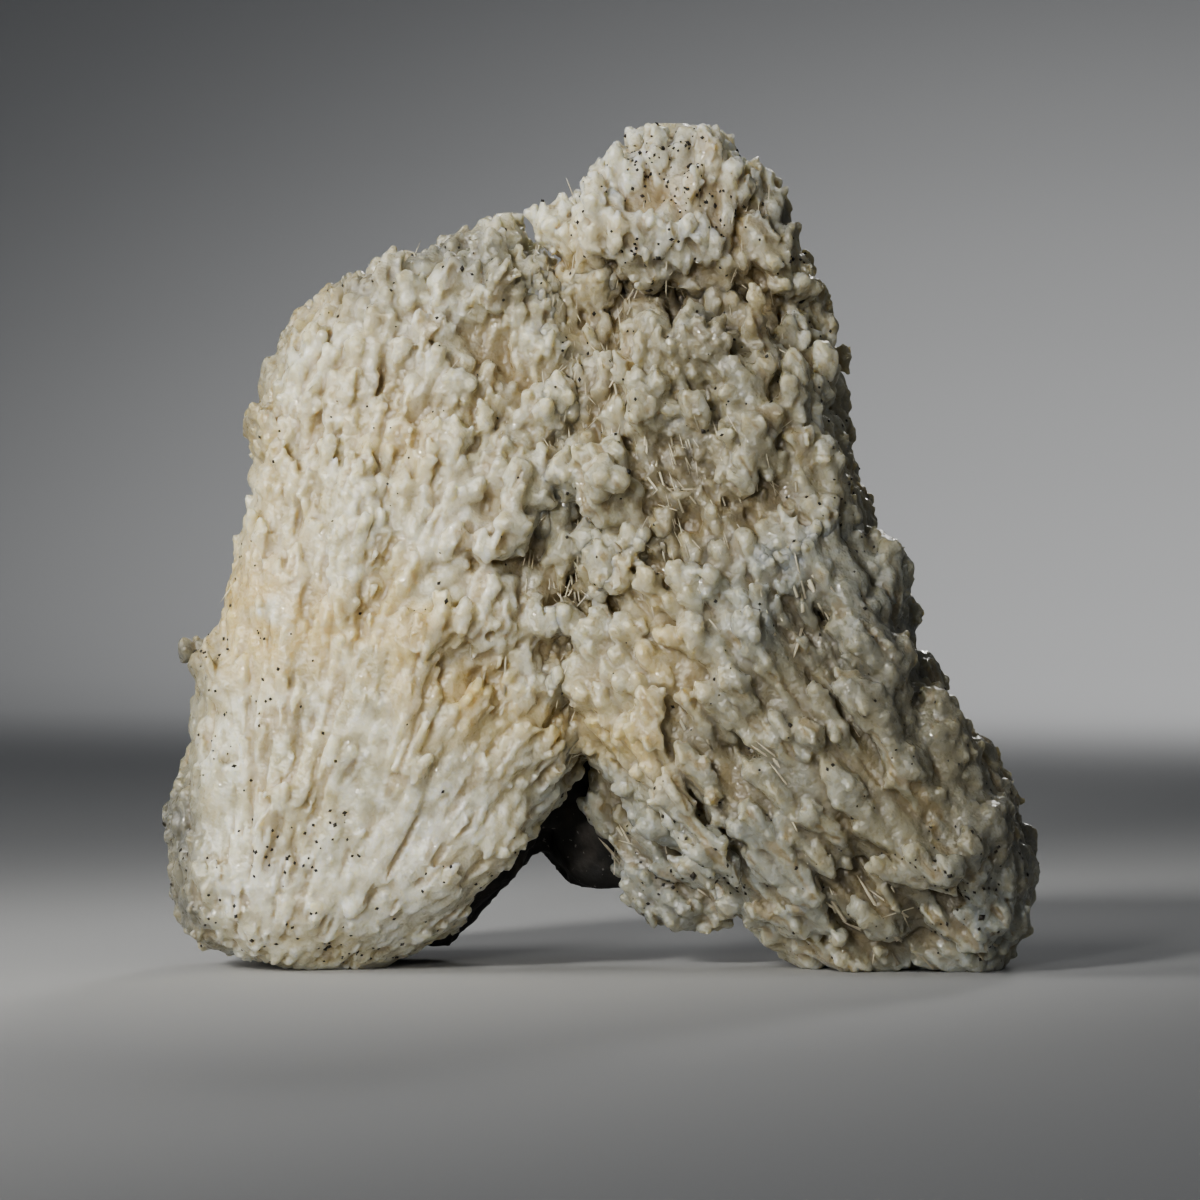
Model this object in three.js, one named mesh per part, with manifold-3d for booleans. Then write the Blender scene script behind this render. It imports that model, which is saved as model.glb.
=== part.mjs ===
// A calcite specimen that stands on its two legs. Two sheaves of calcite stalks have grown together over a
// plate of dark rock, like an upside-down V. Units are millimetres, +Z is up and the front faces -Y.
import * as THREE from "three";
import { mergeVertices } from "three/addons/utils/BufferGeometryUtils.js";
import Module from "manifold-3d";

const wasm = await Module();
wasm.setup();

// Driving sizes
const WIDTH = 120; // across both feet
const ROCK_GAP = 0.3; // between the calcite and the rock under it
const STALK_PITCH = 8.2; // between neighbouring stalk tips
const STALK_RADIUS = 3.2; // belly of a middling stalk
const STALK_LENGTH = 16; // of a middling stalk
const STALK_SIDES = 5;
const LOWEST_ROOT = 3; // from the bottom of a lobe up to the root of its lowest stalks
const LUMP_HEIGHT = 1.3; // of the broad swells of the surface
const LUMP_SPACING = 15; // from one broad swell to the next
const SPARSEST = 0.7; // the share of the stalks that stand where the surface is smooth
const BLUNT_FROM = 0.4; // how knobbly the surface is where the stalks turn blunt
const ROUND_THE_EDGE = 0.8; // radians that the stalks go on from the front round each edge
const FINEST_DETAIL = 0.4; // smaller steps in the surface are smoothed away
const SEED = 11;

// Each level of a lobe is [z, left x, right x, front y, back y, crest]. The crest is how far across the
// level, from 0 at the left to 1 at the right, the front stands out most.
const LEFT_SHEAF = [
  [0, -47, -30, -9, 9, 0.5],
  [2.5, -54.5, -25, -13, 11, 0.5],
  [7, -58.5, -19, -16, 13, 0.48],
  [13, -58.5, -14, -18, 14, 0.46],
  [20, -57, -7.5, -19.5, 15, 0.45],
  [29, -55, 0, -20.5, 15, 0.45],
  [43, -53, 8, -21.5, 15, 0.45],
  [55, -50.5, 10, -21, 14, 0.45],
  [68, -47.5, 9, -20, 13, 0.5],
  [78, -45.5, 5, -19, 12, 0.54],
  [86, -40.5, -1, -17, 11, 0.6],
  [92, -34.5, -4, -15, 9, 0.66],
  [96, -27, -8, -12, 6, 0.68],
  [98, -21, -12, -8, 3, 0.6],
];
const RIGHT_SHEAF = [
  [0, 27, 50, -13, 9, 0.55],
  [3, 22.5, 55, -17, 12, 0.56],
  [8, 18, 58, -21, 15, 0.57],
  [14, 12, 58.5, -24, 17, 0.58],
  [20, 6, 55.5, -25.5, 18, 0.6],
  [28, -3, 50, -26.5, 18, 0.62],
  [36, -7, 45, -26.5, 18, 0.64],
  [45, -8, 41, -26, 17, 0.64],
  [55, -8, 36.5, -26, 16, 0.62],
  [67, -8, 32, -25.5, 15, 0.55],
  [76, -8.5, 31.5, -23, 14, 0.5],
  [84, -8.5, 30.5, -18.5, 13, 0.46],
  [89, -8.5, 29, -12, 12, 0.46],
  [94, -8, 26.5, -15.5, 10, 0.5],
  [101, -6, 24, -16.5, 9, 0.52],
  [106, -2, 20.5, -14.5, 7, 0.5],
  [110.5, 0, 15, -11, 4, 0.4],
  [113.2, 3.5, 10, -7, 0, 0.4],
];
// The low calcite behind the right leg, which shows through the arch.
const APRON = [
  [6.5, 6, 22, -1, 8, 0.4],
  [10, 0.5, 30, -4, 11, 0.4],
  [16, -2.5, 36, -6, 12, 0.4],
  [24, -5, 40, -7, 12, 0.4],
  [31, -4, 38, -7, 9, 0.4],
];
const ROCK_LEFT = [
  [1.5, -49, -21, 6, 19, 0.5],
  [6, -53, -13.5, 3, 24, 0.5],
  [12, -55, -9.5, 3, 27, 0.5],
  [20, -55, -3.5, 3, 29, 0.5],
  [35, -53, 0, 4, 30, 0.5],
  [55, -50, 4, 4, 29, 0.5],
  [70, -46, 4, 4, 26, 0.5],
  [82, -40.5, -2, 4, 21, 0.5],
  [91, -34, -14, 3, 16, 0.5],
  [96, -28, -19, 3, 10, 0.5],
];
const ROCK_RIGHT = [
  [9.5, -5, 8, 9, 19, 0.5],
  [11, -8.5, 18, 6, 22, 0.5],
  [15, -12, 32, 4, 26, 0.5],
  [22, -12, 43, 4, 28, 0.5],
  [35, -12, 42, 4, 29, 0.5],
  [50, -12, 36, 4, 28, 0.5],
  [65, -10, 30, 4, 25, 0.5],
  [80, -8, 25, 4, 20, 0.5],
  [90, -3, 20, 4, 14, 0.5],
];

// Which way the stalks run on the front, as [x, z, degrees up from +X]. They fan out of each foot.
const GRAIN = [
  [-52, 40, 88],
  [-50, 10, 84],
  [-35, 70, 76],
  [-30, 30, 70],
  [-12, 25, 57],
  [-20, 8, 55],
  [-15, 60, 68],
  [-20, 90, 74],
  [11, 14, 133],
  [5, 50, 118],
  [30, 30, 128],
  [48, 12, 130],
  [45, 35, 124],
  [20, 70, 112],
  [28, 85, 100],
  [10, 105, 82],
  [-3, 98, 86],
  [-2, 75, 95],
];

// Where the stalks stand out most, as [x, z, reach in mm, strength].
const KNOBBLY = [
  [15, 68, 20, 1.0],
  [-20, 90, 13, 0.55],
  [10, 100, 17, 0.45],
  [20, 35, 24, 0.6],
  [-6, 55, 12, 0.5],
];

function seeded(seed) {
  let state = seed >>> 0;
  return () => {
    state = (state + 0x6d2b79f5) >>> 0;
    let t = Math.imul(state ^ (state >>> 15), state | 1);
    t ^= t + Math.imul(t ^ (t >>> 7), t | 61);
    return ((t ^ (t >>> 14)) >>> 0) / 4294967296;
  };
}

// The level of a lobe at height z, on a smooth curve through its levels.
function levelAt(lobe, z) {
  const last = lobe.length - 1;
  let i = 0;
  while (i < last - 1 && lobe[i + 1][0] < z) i += 1;
  const before = lobe[Math.max(i - 1, 0)];
  const low = lobe[i];
  const high = lobe[i + 1];
  const after = lobe[Math.min(i + 2, last)];
  const t = THREE.MathUtils.clamp((z - low[0]) / (high[0] - low[0]), 0, 1);
  return low.map((value, k) => {
    const span = high[0] - low[0];
    const slopeLow = ((high[k] - before[k]) / (high[0] - before[0])) * span;
    const slopeHigh = ((after[k] - value) / (after[0] - low[0])) * span;
    const t2 = t * t;
    const t3 = t2 * t;
    return (2 * t3 - 3 * t2 + 1) * value + (t3 - 2 * t2 + t) * slopeLow
      + (3 * t2 - 2 * t3) * high[k] + (t3 - t2) * slopeHigh;
  });
}

// A point of a lobe's surface: turn goes once round, from the left side across the front.
function pointOf(level, turn, squareness) {
  const [z, left, right, front, back, crest] = level;
  const middle = (front + back) / 2;
  const across = (1 - Math.cos(turn)) / 2;
  const inFront = turn < Math.PI;
  const peak = inFront ? crest : 0.5;
  const side = across < peak ? peak : 1 - peak;
  const s = Math.min(Math.abs(across - peak) / side, 1);
  const bulge = (1 - s ** squareness) ** (1 / squareness);
  const y = inFront ? middle + (front - middle) * bulge : middle + (back - middle) * bulge;
  return new THREE.Vector3(left + (right - left) * across, y, z);
}

// A lobe as a closed solid, with its two end rings capped flat. grow makes it larger all over.
function loft(lobe, { rings, around, squareness, grow = 0, rough = 0, lumps = 0 }) {
  const random = seeded(SEED);
  const bottom = lobe[0][0];
  const top = lobe[lobe.length - 1][0];
  const positions = [];
  for (let i = 0; i <= rings; i += 1) {
    const level = levelAt(lobe, bottom + ((top - bottom) * i) / rings);
    const end = i === 0 ? -grow : i === rings ? grow : 0;
    const [z, left, right, front, back, crest] = level;
    const grown = [z + end, left - grow, right + grow, front - grow, back + grow, crest];
    for (let j = 0; j < around; j += 1) {
      const p = pointOf(grown, (2 * Math.PI * j) / around, squareness);
      const wobble = rough * (random() - 0.5) + lumps * lumpAt(p.x, p.z);
      const out = new THREE.Vector3(p.x - (grown[1] + grown[2]) / 2, p.y - (grown[3] + grown[4]) / 2, 0);
      p.addScaledVector(out.normalize(), wobble);
      positions.push(p.x, p.y, p.z);
    }
  }
  const index = [];
  for (let i = 0; i < rings; i += 1) {
    for (let j = 0; j < around; j += 1) {
      const a = i * around + j;
      const b = i * around + ((j + 1) % around);
      index.push(a, b, b + around, a, b + around, a + around);
    }
  }
  for (const [ring, face] of [[0, -1], [rings, 1]]) {
    const level = levelAt(lobe, ring ? top : bottom);
    const centre = positions.length / 3;
    positions.push((level[1] + level[2]) / 2, (level[3] + level[4]) / 2, level[0] + face * grow);
    for (let j = 0; j < around; j += 1) {
      const a = ring * around + j;
      const b = ring * around + ((j + 1) % around);
      index.push(...(face > 0 ? [a, b, centre] : [b, a, centre]));
    }
  }
  const geometry = new THREE.BufferGeometry();
  geometry.setAttribute("position", new THREE.Float32BufferAttribute(positions, 3));
  geometry.setIndex(index);
  return geometry;
}

function solid(geometry) {
  geometry.deleteAttribute("normal");
  geometry.deleteAttribute("uv");
  const merged = mergeVertices(geometry, 1e-4);
  return new wasm.Manifold(new wasm.Mesh({
    numProp: 3,
    vertProperties: new Float32Array(merged.attributes.position.array),
    triVerts: new Uint32Array(merged.index.array),
  }));
}

function geometryOf(manifold) {
  const mesh = manifold.getMesh();
  const geometry = new THREE.BufferGeometry();
  geometry.setAttribute("position", new THREE.BufferAttribute(mesh.vertProperties, 3));
  geometry.setIndex(new THREE.BufferAttribute(mesh.triVerts, 1));
  return geometry;
}

// The run of the stalks at a point of the front, as a unit vector in the XZ plane.
function grainAt(x, z) {
  const run = new THREE.Vector3();
  for (const [gx, gz, degrees] of GRAIN) {
    const weight = 1 / ((x - gx) ** 2 + (z - gz) ** 2 + 9) ** 1.5;
    const angle = THREE.MathUtils.degToRad(degrees);
    run.add(new THREE.Vector3(Math.cos(angle), 0, Math.sin(angle)).multiplyScalar(weight));
  }
  return run.normalize();
}

// The broad swells of the surface, from -1 in a hollow to 1 on a lump.
function lumpAt(x, z) {
  const step = (2 * Math.PI) / LUMP_SPACING;
  const bent = x + 3 * Math.sin(z * 0.19);
  return Math.sin(bent * step) * Math.cos((z + 2.5 * Math.sin(x * 0.23)) * step * 0.7);
}

function knobblyAt(x, z) {
  let knobbly = 0;
  for (const [kx, kz, reach, strength] of KNOBBLY) {
    knobbly += strength * Math.exp(-((x - kx) ** 2 + (z - kz) ** 2) / reach ** 2);
  }
  return Math.min(1, knobbly);
}

// One calcite stalk, pointing along +Y: a slim spindle, or a fatter crystal with a blunt tip.
function stalkGeometry(length, radius, blunt) {
  const slimProfile = [[0, 0], [1, 0.78], [0, 1]];
  const bluntProfile = [[0, 0], [1, 0.6], [0.62, 0.92], [0, 1]];
  const profile = blunt ? bluntProfile : slimProfile;
  const points = profile.map(([r, along]) => new THREE.Vector2(r * radius, along * length));
  return new THREE.LatheGeometry(points, STALK_SIDES);
}

// The stalks that cover a lobe, their roots sunk in it and their tips lifted off it along the grain.
function stalksOn(lobe, squareness, random) {
  const bottom = lobe[0][0];
  const top = lobe[lobe.length - 1][0] - 1;
  const made = [];
  for (let z = bottom + STALK_PITCH / 2; z < top; z += STALK_PITCH) {
    const level = levelAt(lobe, z);
    const girth = 2 * (level[2] - level[1]) + (level[4] - level[3]);
    const count = Math.max(3, Math.round(girth / STALK_PITCH));
    for (let k = 0; k < count; k += 1) {
      const turn = (2 * Math.PI * (k + 0.25 + 0.5 * random())) / count;
      const height = z + (random() - 0.5) * STALK_PITCH;
      const [size, slim, lift, kept] = [random(), random(), random(), random()];
      const overBack = turn > Math.PI + ROUND_THE_EDGE && turn < 2 * Math.PI - ROUND_THE_EDGE;
      if (overBack || height < bottom || height > top) continue;
      const here = levelAt(lobe, height);
      const foot = pointOf(here, turn, squareness);
      const knobbly = knobblyAt(foot.x, foot.z);
      if (kept > SPARSEST + (1 - SPARSEST) * knobbly) continue;
      const beside = pointOf(here, turn + 0.05, squareness);
      const above = pointOf(levelAt(lobe, height + 0.5), turn, squareness);
      const normal = beside.sub(foot).cross(above.sub(foot)).normalize();
      const grain = grainAt(foot.x, foot.z);
      const along = grain.addScaledVector(normal, -grain.dot(normal)).normalize();
      const room = Math.min(1, (height - bottom + 6) / 18, (top - height + 6) / 18);
      const length = STALK_LENGTH * (0.9 + 0.5 * slim) * (1.2 - 0.55 * knobbly) * room;
      const radius = STALK_RADIUS * (0.8 + 0.4 * size);
      const tilt = THREE.MathUtils.degToRad(6 + 7 * lift + 30 * knobbly);
      const axis = along.multiplyScalar(Math.cos(tilt)).addScaledVector(normal, Math.sin(tilt));
      const sunk = radius * (0.2 - 0.1 * knobbly);
      const root = foot.clone().addScaledVector(axis, -0.68 * length).addScaledVector(normal, -sunk);
      if (root.z < bottom + LOWEST_ROOT) continue;
      const geometry = stalkGeometry(length, radius, knobbly > BLUNT_FROM);
      geometry.rotateY(size * Math.PI);
      geometry.applyQuaternion(new THREE.Quaternion().setFromUnitVectors(new THREE.Vector3(0, 1, 0), axis));
      geometry.translate(root.x, root.y, root.z);
      made.push(solid(geometry));
    }
  }
  return made;
}

// Everything below the surface that the specimen stands on.
function groundSolid() {
  const depth = 40;
  return solid(new THREE.BoxGeometry(2 * WIDTH, 2 * WIDTH, depth).translate(0, 0, -depth / 2));
}

const SHEAF_SHAPE = { rings: 18, around: 22, squareness: 2.5, rough: 1, lumps: LUMP_HEIGHT };
const APRON_SHAPE = { rings: 6, around: 14, squareness: 2.4, rough: 1, lumps: LUMP_HEIGHT };
const ROCK_SHAPE = { rings: 9, around: 14, squareness: 3.2, rough: 4.6 };

function rockSolid(grow) {
  const left = solid(loft(ROCK_LEFT, { ...ROCK_SHAPE, grow }));
  const right = solid(loft(ROCK_RIGHT, { ...ROCK_SHAPE, grow }));
  return left.add(right);
}

function calciteSolid() {
  const random = seeded(SEED);
  const lobes = [
    solid(loft(LEFT_SHEAF, SHEAF_SHAPE)),
    solid(loft(RIGHT_SHEAF, SHEAF_SHAPE)),
    solid(loft(APRON, APRON_SHAPE)),
  ];
  const stalks = [
    ...stalksOn(LEFT_SHEAF, SHEAF_SHAPE.squareness, random),
    ...stalksOn(RIGHT_SHEAF, SHEAF_SHAPE.squareness, random),
    ...stalksOn(APRON, APRON_SHAPE.squareness, random),
  ];
  const grown = wasm.Manifold.union([...lobes, ...stalks]).simplify(FINEST_DETAIL);
  return grown.subtract(rockSolid(ROCK_GAP)).subtract(groundSolid()).simplify(ROCK_GAP / 3);
}

// The part of a solid that holds together, without the crumbs that a cut leaves.
function largestPiece(manifold) {
  return manifold.decompose().reduce((best, piece) => (piece.volume() > best.volume() ? piece : best));
}

function stone(name, geometry, colour, roughness) {
  const material = new THREE.MeshStandardMaterial({ color: colour, roughness, metalness: 0 });
  const mesh = new THREE.Mesh(geometry, material);
  mesh.name = name;
  return mesh;
}

const calcite = stone("calcite_sheaves", geometryOf(largestPiece(calciteSolid())), 0xd9d2bd, 0.35);
const rock = stone("matrix_rock", geometryOf(largestPiece(rockSolid(0))), 0x3a3a36, 0.8);

// The frame's origin is the middle of the surface that the specimen covers.
const specimen = new THREE.Group();
specimen.add(calcite, rock);
const box = new THREE.Box3().setFromObject(specimen);
const middle = box.getCenter(new THREE.Vector3());
specimen.position.set(-middle.x, -middle.y, -box.min.z);

export default specimen;
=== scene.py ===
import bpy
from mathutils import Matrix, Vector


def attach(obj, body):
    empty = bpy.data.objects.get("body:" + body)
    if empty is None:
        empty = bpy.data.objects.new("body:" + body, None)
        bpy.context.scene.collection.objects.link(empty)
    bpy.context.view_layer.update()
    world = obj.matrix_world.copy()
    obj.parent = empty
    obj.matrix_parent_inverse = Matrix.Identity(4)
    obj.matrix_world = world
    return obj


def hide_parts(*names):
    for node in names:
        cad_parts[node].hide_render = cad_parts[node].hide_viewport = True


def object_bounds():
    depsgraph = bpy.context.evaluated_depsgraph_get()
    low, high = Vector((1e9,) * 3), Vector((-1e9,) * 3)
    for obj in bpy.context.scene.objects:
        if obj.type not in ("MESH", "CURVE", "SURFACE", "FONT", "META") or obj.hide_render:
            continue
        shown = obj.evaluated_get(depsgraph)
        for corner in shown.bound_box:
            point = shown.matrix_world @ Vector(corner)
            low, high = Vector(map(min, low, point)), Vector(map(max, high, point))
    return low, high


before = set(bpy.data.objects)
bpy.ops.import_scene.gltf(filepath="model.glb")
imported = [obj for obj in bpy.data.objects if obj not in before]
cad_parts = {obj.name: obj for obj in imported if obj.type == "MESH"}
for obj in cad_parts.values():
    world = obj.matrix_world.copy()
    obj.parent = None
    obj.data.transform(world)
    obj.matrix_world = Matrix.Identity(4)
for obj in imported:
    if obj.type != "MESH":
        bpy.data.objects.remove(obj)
cad_corners = [list(corner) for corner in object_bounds()]

import math

import bpy
import numpy as np
import openvdb
from mathutils import Vector

# A calcite specimen: sheaves of knobbly stalks over a plate of dark rock. Blender works in metres, and the
# shapes here are worked out in millimetres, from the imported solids, and scaled at the end.
MM = 0.001
SEED = 7
CALCITE = "calcite_sheaves"
ROCK = "matrix_rock"

# How finely the shapes are worked out, in millimetres
COARSE_STEP = 0.8
FINE_STEP = 0.32
ROCK_STEP = 0.5
ROCK_TRIANGLES = 90000
SKIN_SAMPLES = 30000  # how many points of each lobe the needles and grains choose from
FORM_BLUR = 1.8  # takes the solid's own stalks out of its form
CAVITY_BLUR = 1.0  # what counts as a hollow between two stalks
FAR = 6.0  # distances are only true this near to a surface
EDGE = 0.05  # the stalks keep this far inside the box of the solids
ROCK_BARE = 0.8  # nothing grows this near to the rock
FOOT_BARE = 0.6  # or this near to the surface that the feet rest on

cad_low, cad_high = np.array(cad_corners) / MM
rng = np.random.default_rng(SEED)

# Which way the stalks run on the front, as (x, z, degrees up from +X). They fan out of each foot.
GRAIN = [
    (-52, 40, 88), (-50, 10, 84), (-35, 70, 76), (-30, 30, 70), (-12, 25, 57), (-20, 8, 55),
    (-15, 60, 68), (-20, 90, 74), (11, 14, 133), (5, 50, 118), (30, 30, 128), (48, 12, 130),
    (45, 35, 124), (20, 70, 112), (28, 85, 100), (10, 105, 82), (-3, 98, 86), (-2, 75, 95),
]

# Where the zones of the front lie, as (x, z, reach, strength). What no zone takes is the ragged upper left.
BLOBS = {
    "columns": [
        (22, 30, 17, 1.0), (40, 12, 20, 1.0), (12, 14, 12, 0.9), (30, 45, 11, 0.8), (10, 103, 11, 0.9),
        (20, 98, 9, 0.7),
    ],
    "bulge": [
        (14, 72, 17, 1.0), (-20, 92, 12, 0.7), (14, 84, 14, 0.8), (5, 42, 11, 0.7), (-4, 56, 11, 0.7),
        (-12, 68, 12, 0.4),
    ],
    "smooth": [
        (-45, 10, 22, 1.0), (-32, 24, 20, 0.8), (-52, 38, 16, 0.8), (-22, 10, 14, 0.6), (-50, 60, 10, 0.4),
    ],
}

# The ridge where the right sheaf turns away to its smooth right side, as (z, x).
RIDGE = [(0, 53), (9, 48), (29, 37), (53, 30), (62, 31), (80, 32), (95, 27), (112, 22)]

# Where the left sheaf turns away at its left edge, as (z, x).
LEFT_RIDGE = [
    (0, -50), (10, -54), (25, -54), (45, -52), (60, -49), (75, -45), (90, -39), (97, -30), (101, -20),
]

# Hollows in the front, as (x, z, reach, depth): the valley, the ledge under the head, and pits.
HOLLOWS = [
    (-8, 96, 3, 2.0), (-6, 88, 3, 1.8), (-4, 79, 3, 1.8), (-3, 70, 3, 2.0), (-2, 61, 3, 2.2),
    (-4, 52, 3.5, 2.4), (-7, 43, 3.5, 2.4), (-6, 34, 3, 2.0), (-2, 27, 3, 1.8), (-5, 94, 3, 1.5),
    (3, 92, 4, 3.2), (11, 90.5, 4, 3.6), (19, 89.5, 4, 2.6), (25, 88.5, 3.5, 1.6), (9, 68, 3.5, 2.2),
    (10, 56, 4, 2.2), (19, 52.5, 4, 2.5), (27, 48, 4, 2.5),
    (17, 76, 2.5, 2.2), (1, 50, 3, 1.8), (21, 62, 3, 2.0), (12, 60, 3, 1.5), (14, 47, 3.5, 1.6),
    (30, 40, 4, 1.5), (22, 33, 4, 1.5), (36, 17, 4, 2.0), (45, 10, 4, 1.5), (-16, 40, 2.5, 1.5),
    (-12, 52, 3, 1.5), (-28, 78, 2.5, 1.2), (-22, 74, 2.5, 1.2), (-33, 84, 2.5, 1.2), (-13, 80, 3, 1.2),
]

# Streaks run along the stalks. In the left sheaf they fan from a point under its foot, as wide apart as the
# others at this reach from it. In the right sheaf they lean this many degrees.
FAN_FOOT = (-52, -35)
FAN_REACH = 80
LEAN = 37
STREAK_STRETCH = 5

# How far the floor between the stalks swells and sinks, as (distance, height).
SWELLS = [(13, 1.3), (6.5, 0.8)]

# How high the ribs and lumps are that the stalks of each zone stand on. Ribs are drawn out along the stalks.
RIBS = {"scales": 1.1, "smooth": 0.3, "bulge": 1.0, "columns": 6.5, "side": 0.6}
LUMPS = {"scales": 0.8, "smooth": 0.1, "bulge": 4.6, "columns": 1.0, "side": 0.8}
RIB_WIDTH = 5.5
LUMP_WIDTH = 6.5
CREST_SHARE = 0.25  # how much of the height of a rib or lump lies above the floor

# The crust of small crystals. They are this far apart and longer upwards, and stand this high. Fine streaks
# and slits run through them, and some zones are calmer.
CELL_SIZE = 2.1
CELL_SHAPE = (1, 1, 0.7)
CRYSTAL_HEIGHT = 0.6
STREAK_HEIGHT = 0.2
STREAK_WIDTHS = ((1.0, 0.6), (2.2, 0.4))
SLIT_DEPTH = 0.35
SLIT_ENDS = (0.20, 0.42)
FINE_HEIGHT = 0.06
FINE_WIDTH = 0.9
CALM = {"smooth": 0.5, "scales": 0.3}

# The valley between the two sheaves, as (z, x).
VALLEY = [(-5, 6), (28, -4), (45, -6), (61, -4), (77, -5), (92, -8), (125, -10)]


def smoothstep(low, high, value):
    t = np.clip((value - low) / (high - low), 0, 1)
    return t * t * (3 - 2 * t)


def unit(vectors):
    length = np.linalg.norm(vectors, axis=-1, keepdims=True)
    return vectors / np.maximum(length, 1e-9)


def valley_at(z):
    heights, places = zip(*VALLEY)
    return np.interp(z, heights, places)


def grain_at(x, z):
    """The run of the stalks at points of the front, as unit vectors in the XZ plane."""
    run = np.zeros((len(x), 3))
    for gx, gz, degrees in GRAIN:
        weight = 1 / ((x - gx) ** 2 + (z - gz) ** 2 + 9) ** 1.5
        run[:, 0] += weight * math.cos(math.radians(degrees))
        run[:, 2] += weight * math.sin(math.radians(degrees))
    return unit(run)


def shares_at(x, y, z):
    """How far a place belongs to each zone. The shares of a place add up to one."""
    side = np.maximum(smoothstep(-2.5, 3, x - np.interp(z, *zip(*RIDGE))), smoothstep(7, 13, y))
    side = np.maximum(side, smoothstep(3, -2, x - np.interp(z, *zip(*LEFT_RIDGE))))
    shares = {"side": side}
    rest = 1 - side
    for zone, blobs in BLOBS.items():
        taken = 0
        for bx, bz, reach, strength in blobs:
            taken = taken + strength * np.exp(-((x - bx) ** 2 + (z - bz) ** 2) / reach**2)
        taken = rest * np.minimum(taken, 1)
        shares[zone] = taken
        rest = rest - taken
    shares["scales"] = rest
    return shares


LATTICE = rng.random((32, 32, 32)) * 2 - 1


def noise(points, wavelength):
    """Smooth noise from -1 to 1, one value for each point."""
    places = points / wavelength
    cell = np.floor(places).astype(int)
    t = places - cell
    t = t * t * (3 - 2 * t)
    total = np.zeros(len(points))
    for corner in np.ndindex(2, 2, 2):
        weight = np.prod(np.where(corner, t, 1 - t), axis=1)
        i, j, k = ((cell + corner) % len(LATTICE)).T
        total += weight * LATTICE[i, j, k]
    return total


def cells_at(points, size):
    """How far points are from the nearest of many spots about size apart, as a share of that size."""
    places = points / size
    cell = np.floor(places).astype(int)
    nearest = np.full(len(points), 9.0)
    for step in np.ndindex(3, 3, 3):
        corner = cell + step - 1
        i, j, k = (corner % len(LATTICE)).T
        spot = corner + 0.5 + 0.5 * np.stack([LATTICE[i, j, k], LATTICE[j, k, i], LATTICE[k, i, j]], axis=1)
        nearest = np.minimum(nearest, ((places - spot) ** 2).sum(1))
    return np.sqrt(nearest)


def streak_at(points, wavelength):
    """Noise drawn out along the stalks."""
    x, y, z = points.T
    foot_x, foot_z = FAN_FOOT
    angle = np.arctan2(x - foot_x, z - foot_z)
    radius = np.hypot(x - foot_x, z - foot_z)
    fanned = np.stack([angle * FAN_REACH, y, radius / STREAK_STRETCH], axis=1)
    lean = math.radians(LEAN)
    across, along = x * math.cos(lean) + z * math.sin(lean), z * math.cos(lean) - x * math.sin(lean)
    slanted = np.stack([across, y, along / STREAK_STRETCH], axis=1)
    left = smoothstep(3, -3, x - valley_at(z))
    return left * noise(fanned, wavelength) + (1 - left) * noise(slanted, wavelength)


class Field:
    """Distances to a surface on a regular grid, in millimetres, below zero inside."""

    def __init__(self, low, high, step):
        self.step = step
        self.first = np.floor(np.array(low) / step).astype(int)
        last = np.ceil(np.array(high) / step).astype(int)
        self.values = np.full(last - self.first + 1, FAR, np.float32)

    def axes(self):
        counts = self.values.shape
        lines = [(self.first[a] + np.arange(counts[a])) * self.step for a in range(3)]
        return np.ix_(*[line.astype(np.float32) for line in lines])

    def at(self, points):
        places = points / self.step - self.first
        places = np.clip(places, 0, np.array(self.values.shape) - 1.001)
        cell = places.astype(int)
        t = places - cell
        total = np.zeros(len(points))
        for corner in np.ndindex(2, 2, 2):
            weight = np.prod(np.where(corner, t, 1 - t), axis=1)
            i, j, k = (cell + corner).T
            total += weight * self.values[i, j, k]
        return total

    def normals_at(self, points):
        reach = self.step
        slopes = [self.at(points + reach * axis) - self.at(points - reach * axis) for axis in np.eye(3)]
        return unit(np.stack(slopes, axis=1))

    def copied(self):
        out = Field.__new__(Field)
        out.step, out.first, out.values = self.step, self.first, self.values.copy()
        return out

    def blurred(self, sigma):
        """The same field with everything much smaller than sigma smoothed away."""
        out = self.copied()
        radius = int(math.ceil(2.5 * sigma / self.step))
        taps = np.exp(-0.5 * (np.arange(-radius, radius + 1) * self.step / sigma) ** 2)
        taps = (taps / taps.sum()).astype(np.float32)
        for axis in range(3):
            pad = [(radius, radius) if a == axis else (0, 0) for a in range(3)]
            padded = np.pad(out.values, pad, mode="edge")
            total = np.zeros_like(self.values)
            for i, tap in enumerate(taps):
                window = [slice(None)] * 3
                window[axis] = slice(i, i + self.values.shape[axis])
                total += tap * padded[tuple(window)]
            out.values = total
        return out

    def resampled(self, low, high, step):
        """This field read off on a finer grid between two corners."""
        out = Field(low, high, step)
        values = self.values
        for axis in range(3):
            line = (out.first[axis] + np.arange(out.values.shape[axis])) * step
            places = np.clip(line / self.step - self.first[axis], 0, self.values.shape[axis] - 1.001)
            cell = places.astype(int)
            shape = [-1 if a == axis else 1 for a in range(3)]
            t = (places - cell).astype(np.float32).reshape(shape)
            values = np.take(values, cell, axis) * (1 - t) + np.take(values, cell + 1, axis) * t
        out.values = values
        return out

    def surface(self):
        """The closed surface at distance zero, as points, triangles and quads."""
        grid = openvdb.FloatGrid(FAR)
        grid.copyFromArray(np.clip(self.values, -FAR, FAR))
        points, triangles, quads = grid.convertToPolygons(0.0, 0.0)
        return (points.astype(float) + self.first) * self.step, triangles, quads


def smooth_min(a, b, reach):
    overlap = np.maximum(reach - np.abs(a - b), 0) / reach
    return np.minimum(a, b) - overlap * overlap * reach / 4


def smooth_max(a, b, reach):
    return -smooth_min(-a, -b, reach)


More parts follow.
